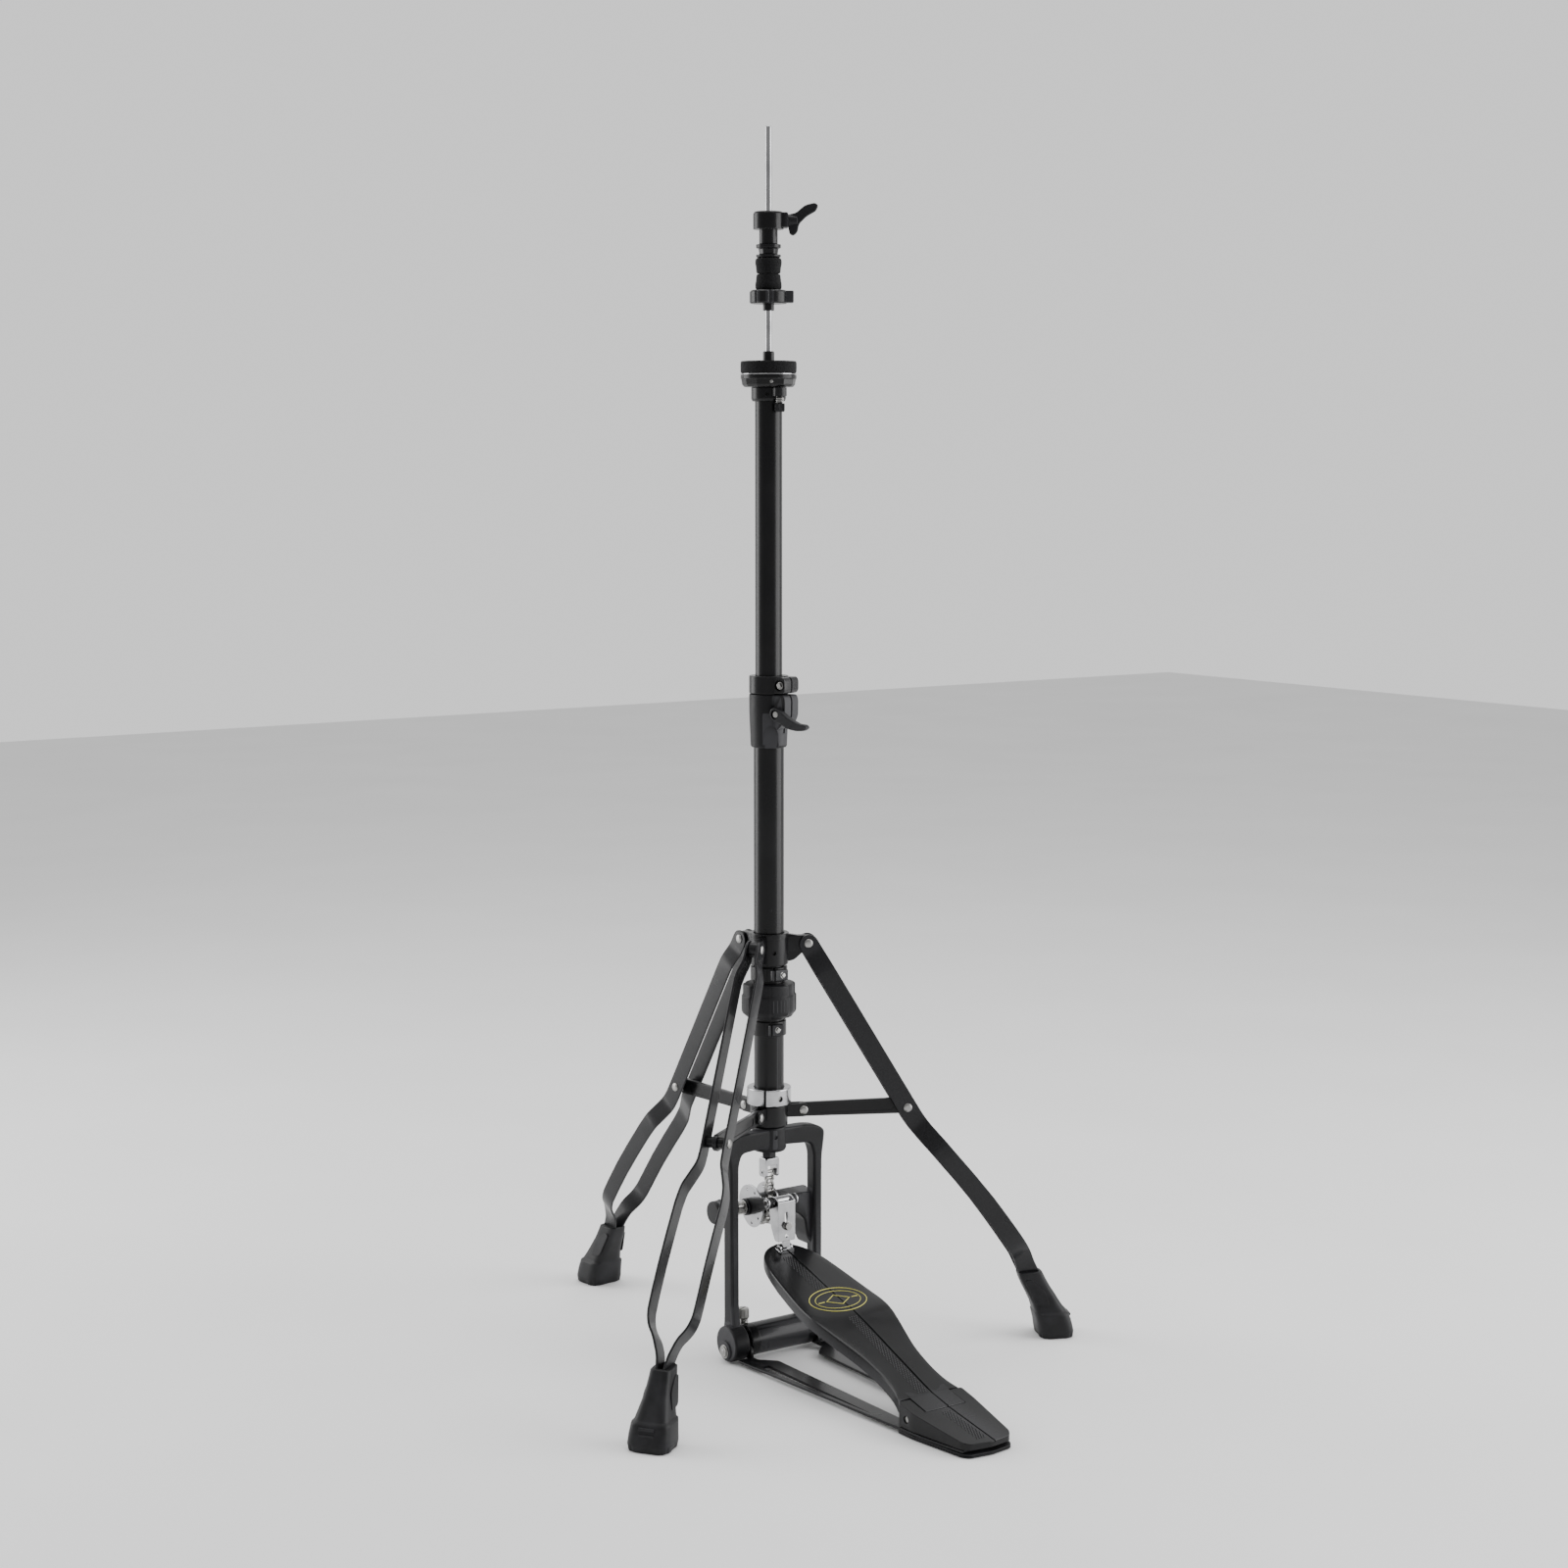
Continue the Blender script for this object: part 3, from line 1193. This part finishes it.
def make_toe_link(chrome):
    """The folded steel link from the lever's pin down to the footboard's toe, and its adjusting bolt."""
    half = LINK_HALF_WIDTH
    top = LEVER_PIN_Z + 5.5
    shoulder = LINK_BOTTOM_Z + 6.0
    link = block("toe_link", (-half, LINK_FRONT_Y, shoulder), (half, LINK_BACK_Y, top))
    hollow = block(
        "link_hollow",
        (-half + LINK_PLATE, LINK_FRONT_Y + LINK_PLATE, shoulder - 5),
        (half - LINK_PLATE, LINK_BACK_Y + 5, top + 5),
    )
    tongue = block(
        "link_tongue",
        (-4.4, LINK_FRONT_Y + 0.2, LINK_BOTTOM_Z - 0.5),
        (4.4, LINK_FRONT_Y + 6.0, shoulder + 6),
    )
    pin_way = rod(
        "link_pin_way",
        LEVER_PIN_RADIUS + GAP,
        (-20, LEVER_PIN_Y, LEVER_PIN_Z),
        (20, LEVER_PIN_Y, LEVER_PIN_Z),
        14,
    )
    bolt_z = LEVER_PIN_Z - 22.0
    bolt_way = rod("link_bolt_way", 2.6, (0, LINK_FRONT_Y - 5, bolt_z), (0, LINK_FRONT_Y + 4, bolt_z), 12)
    cut(link, hollow)
    join(link, tongue)
    cut(link, pin_way, bolt_way)
    bolt = rod("toe_link_bolt", 2.3, (0, LINK_FRONT_Y - 1, bolt_z), (0, LINK_FRONT_Y + 5.0, bolt_z), 12)
    join(
        bolt,
        rod("toe_link_bolt_head", 4.4, (0, LINK_FRONT_Y - 4.2, bolt_z), (0, LINK_FRONT_Y - GAP, bolt_z), 6),
    )
    return finish(link, chrome), finish(bolt, chrome)


# ---------------------------------------------------------------- footboard and heel


def make_footboard(black):
    """The footboard: a crowned sheet with turned-down sides, and a tongue with the hinge's barrel at the heel."""
    rows = 15
    shoulders = (-1.0, -0.9, -0.45, 0.45, 0.9, 1.0)
    columns = len(shoulders)
    bm = bmesh.new()
    bmesh.ops.create_grid(bm, x_segments=columns - 1, y_segments=rows - 1, size=1.0)
    rear = EAR_FRONT_Y + 1.0
    for vert in bm.verts:
        column = round((vert.co.x + 1) / 2 * (columns - 1))
        share = shoulders[column]
        y = rear + (TOE_Y - rear) * (vert.co.y + 1) / 2
        half = between(BOARD_HALF_WIDTHS, y)
        drop = BOARD_SIDE_DROP if abs(share) == 1.0 else 0.0
        top = between(BOARD_TOP, y) - BOARD_THICKNESS / 2
        vert.co = Vector((share * half, y, top - drop)) * MM
    board = from_bmesh("footboard", bm)
    sheet = board.modifiers.new("thickness", "SOLIDIFY")
    sheet.thickness = BOARD_THICKNESS * MM
    sheet.offset = 0.0
    apply_modifiers(board)
    tongue = plate(
        "board_tongue",
        [
            (TONGUE_END_Y, HEEL_PIN_Z + 2.5),
            (TONGUE_END_Y, between(BOARD_TOP, TONGUE_END_Y)),
            (EAR_FRONT_Y + 8.0, between(BOARD_TOP, EAR_FRONT_Y + 8.0) - 0.4),
            (EAR_FRONT_Y + 8.0, between(BOARD_TOP, EAR_FRONT_Y + 8.0) - 3.2),
            (HEEL_PIN_Y + 8.0, HEEL_PIN_Z + 4.5),
        ],
        -TONGUE_HALF_WIDTH,
        TONGUE_HALF_WIDTH,
        "X",
    )
    barrel_half = TONGUE_HALF_WIDTH - 0.5
    barrel = rod(
        "hinge_barrel",
        5.6,
        (-barrel_half, HEEL_PIN_Y, HEEL_PIN_Z),
        (barrel_half, HEEL_PIN_Y, HEEL_PIN_Z),
        16,
    )
    pin_way = rod(
        "board_pin_way",
        HEEL_PIN_RADIUS + GAP,
        (-50, HEEL_PIN_Y, HEEL_PIN_Z),
        (50, HEEL_PIN_Y, HEEL_PIN_Z),
        14,
    )
    join(board, tongue, barrel)
    cut(board, pin_way)
    return finish(board, black)


def make_toe_clip(chrome):
    """The steel clip on the toe that the link's lower end sits in."""
    middle = LINK_FRONT_Y + 3.5
    seat = between(BOARD_TOP, middle + 6.5) + GAP
    clip = block("toe_clip", (-8.0, middle - 5.5, seat), (8.0, middle + 5.5, seat + 1.3))
    for sign in (-1, 1):
        low, high = sorted((sign * 5.2, sign * 7.2))
        join(clip, block(f"clip_cheek_{sign}", (low, middle - 4, seat + 0.6), (high, middle + 4, seat + 6)))
    slope = math.atan2(BOARD_TOP[5][1] - BOARD_TOP[4][1], BOARD_TOP[5][0] - BOARD_TOP[4][0])
    apply_modifiers(clip)
    centre = Matrix.Translation(Vector((0, middle + 6.5, seat)) * MM)
    clip.data.transform(centre @ Matrix.Rotation(slope, 4, "X") @ centre.inverted())
    return finish(clip, chrome)


def heel_outline(grow=0.0):
    rear = HEEL_REAR_Y - grow
    return [
        (HEEL_HALF_WIDTH + grow, EAR_FRONT_Y),
        (HEEL_HALF_WIDTH - 2.0 + grow, HEEL_PIN_Y - 22),
        (HEEL_REAR_HALF_WIDTH + grow, rear + 6.0),
        (HEEL_REAR_HALF_WIDTH - 5.0 + grow, rear + 0.6),
        (0.0, rear - 6.0),
        (-HEEL_REAR_HALF_WIDTH + 5.0 - grow, rear + 0.6),
        (-HEEL_REAR_HALF_WIDTH - grow, rear + 6.0),
        (-HEEL_HALF_WIDTH + 2.0 - grow, HEEL_PIN_Y - 22),
        (-HEEL_HALF_WIDTH - grow, EAR_FRONT_Y),
    ]


def make_heel(black, chrome, rubber):
    """The heel plate with the hinge's ears, the hinge pin, and the rubber under the base plate."""
    low = RUBBER_THICKNESS + BASE_PLATE_THICKNESS + 2 * GAP
    heel = plate("heel_plate", heel_outline(), low, 30.0)
    top = plate(
        "heel_slope",
        [
            (EAR_FRONT_Y + 10, 28.5),
            (TONGUE_END_Y, 23.0),
            (HEEL_REAR_Y - 20, 11.5),
            (HEEL_REAR_Y - 20, 40),
            (EAR_FRONT_Y + 10, 40),
        ],
        -60,
        60,
        "X",
    )
    pocket_half = TONGUE_HALF_WIDTH + 0.5
    pocket = block(
        "heel_pocket", (-pocket_half, TONGUE_END_Y - 0.7, low - 5), (pocket_half, EAR_FRONT_Y + 5, 45)
    )
    hollow = plate(
        "heel_hollow",
        [
            (TONGUE_END_Y - 4, low - 3),
            (TONGUE_END_Y - 4, 17.5),
            (HEEL_REAR_Y + 6, 10.0),
            (HEEL_REAR_Y + 6, low - 3),
        ],
        -HEEL_REAR_HALF_WIDTH + 7,
        HEEL_REAR_HALF_WIDTH - 7,
        "X",
    )
    pin_way = rod(
        "heel_pin_way",
        HEEL_PIN_RADIUS + GAP,
        (-50, HEEL_PIN_Y, HEEL_PIN_Z),
        (50, HEEL_PIN_Y, HEEL_PIN_Z),
        14,
    )
    cut(heel, top, pocket, hollow, pin_way)
    reach = HEEL_HALF_WIDTH - 0.6
    pin = rod(
        "heel_pin", HEEL_PIN_RADIUS, (-reach, HEEL_PIN_Y, HEEL_PIN_Z), (reach, HEEL_PIN_Y, HEEL_PIN_Z), 14
    )
    pad = plate("heel_rubber", heel_outline(0.6), 0.0, RUBBER_THICKNESS)
    return finish(heel, black), finish(pin, chrome), finish(pad, rubber)


# ---------------------------------------------------------------- assembly


def build():
    clear_scene()
    black = material("satin_black_steel", (0.022, 0.022, 0.025), 0.36, 0.3)
    cast = material("matt_black_casting", (0.035, 0.036, 0.040), 0.55, 0.2)
    chrome = material("chrome_plate", (0.78, 0.78, 0.79), 0.12, 1.0)
    steel = material("spring_steel", (0.30, 0.30, 0.31), 0.35, 1.0)
    felt = material("black_felt", (0.02, 0.02, 0.021), 0.95, 0.0)
    rubber = material("black_rubber", (0.03, 0.03, 0.033), 0.7, 0.0)

    stand = add_object("stand_origin", None)

    lower_rod, upper_rod, coupler = make_rods(black, chrome)
    lower_tube, upper_tube = make_tubes(black)
    clutch, clutch_wing, nuts, felts, clutch_nut = make_clutch(black, felt, chrome)
    cup, washer, disc, mount, tilt_screw = make_seat(black, felt, chrome)
    clamp, height_wing, memory_ring = make_height_clamp(cast, chrome)
    stop, knob, ring, lock, spring_seat, spring = make_tension_parts(black, chrome, steel)
    frame = make_frame(cast)
    beam, floor_plate, hinge, spurs = make_base(black, chrome, rubber)
    axle, cam, lever = make_cam_drive(black, chrome)
    hanging, wrapped = make_chain(steel)
    clevis, end_nut = make_clevis(chrome)
    link, link_bolt = make_toe_link(chrome)
    board = make_footboard(black)
    clip = make_toe_clip(chrome)
    heel, heel_pin, pad = make_heel(black, chrome, rubber)

    attach(
        stand, lower_tube, clamp, memory_ring, stop, ring, lock, spring_seat, spring,
        frame, beam, floor_plate, hinge, axle, heel, heel_pin, pad,
    )

    pull = pivot("pull_rod_slide", (0, 0, CLEVIS_BOTTOM), stand)
    attach(pull, lower_rod, upper_rod, coupler, clevis, end_nut, hanging)
    clutch_slide = pivot("clutch_slide", (0, 0, CLUTCH_NUT_TOP), pull)
    attach(clutch_slide, clutch, *nuts, *felts)
    attach(pivot("clutch_nut_turn", (0, 0, CLUTCH_NUT_TOP), clutch_slide), clutch_nut)
    attach(pivot("clutch_wing_turn", (0, 0, CLUTCH_HEAD_Z), clutch_slide), clutch_wing)

    height = pivot("height_slide", (0, 0, UPPER_TUBE_BOTTOM), stand)
    attach(height, upper_tube, mount)
    cup_bottom = UPPER_TUBE_TOP + 6.3
    attach(pivot("seat_tilt", (0, SEAT_MOUNT_RADIUS, cup_bottom - GAP / 2), height), cup, washer, disc)
    attach(pivot("tilt_screw_turn", (0, -TILT_SCREW_REACH, cup_bottom), height), tilt_screw)
    lever_place = polar(WING_BOLT_REACH, LUG_ANGLE - 90, HEIGHT_CLAMP_TOP - 18.0)
    attach(pivot("height_lever_turn", lever_place, stand), height_wing)
    attach(pivot("tension_turn", (0, 0, KNOB_BOTTOM), stand), knob)

    swivel = pivot("leg_swivel", (0, 0, BRACE_COLLAR_BOTTOM), stand)
    attach(swivel, brace_collar(black))
    slide = pivot("leg_fold", (0, 0, LEG_COLLAR_BOTTOM), swivel)
    attach(slide, leg_collar(black))
    for side, angle in LEG_ANGLES.items():
        leg = pivot(f"leg_{side}_hinge", polar(LEG_PIVOT_REACH, angle, LEG_PIVOT_Z), slide)
        strips = [
            leg_strip(f"leg_{side}_strip_{n}", angle, sign, black) for n, sign in (("a", -1), ("b", 1))
        ]
        attach(leg, *strips, boot(f"boot_{side}", angle, rubber))
        arm = pivot(f"brace_{side}_hinge", polar(BRACE_PIVOT_REACH, angle, BRACE_PIVOT_Z), swivel)
        attach(arm, brace(f"brace_{side}", angle, black))

    press = pivot("footboard_press", (0, HEEL_PIN_Y, HEEL_PIN_Z), stand)
    attach(press, board, clip)
    turn = pivot("cam_turn", (0, AXLE_Y, AXLE_Z), stand)
    attach(turn, cam, lever, wrapped)
    attach(pivot("link_swing", (0, LEVER_PIN_Y, LEVER_PIN_Z), turn), link, link_bolt)
    for spur, side, sign in zip(spurs, ("left", "right"), (-1, 1)):
        attach(pivot(f"spur_{side}_slide", (sign * SPUR_X, SPUR_Y, 0), stand), spur)
    centre_on_floor(stand)


def centre_on_floor(stand):
    """Moves the whole stand so that its box stands centred over the origin."""
    bpy.context.view_layer.update()
    graph = bpy.context.evaluated_depsgraph_get()
    corners = []
    for obj in parts.objects:
        if obj.type == "MESH":
            solid = obj.evaluated_get(graph)
            corners += [solid.matrix_world @ Vector(corner) for corner in solid.bound_box]
    low = Vector([min(corner[k] for corner in corners) for k in range(3)])
    high = Vector([max(corner[k] for corner in corners) for k in range(3)])
    stand.location = (-(low.x + high.x) / 2, -(low.y + high.y) / 2, -low.z)


build()
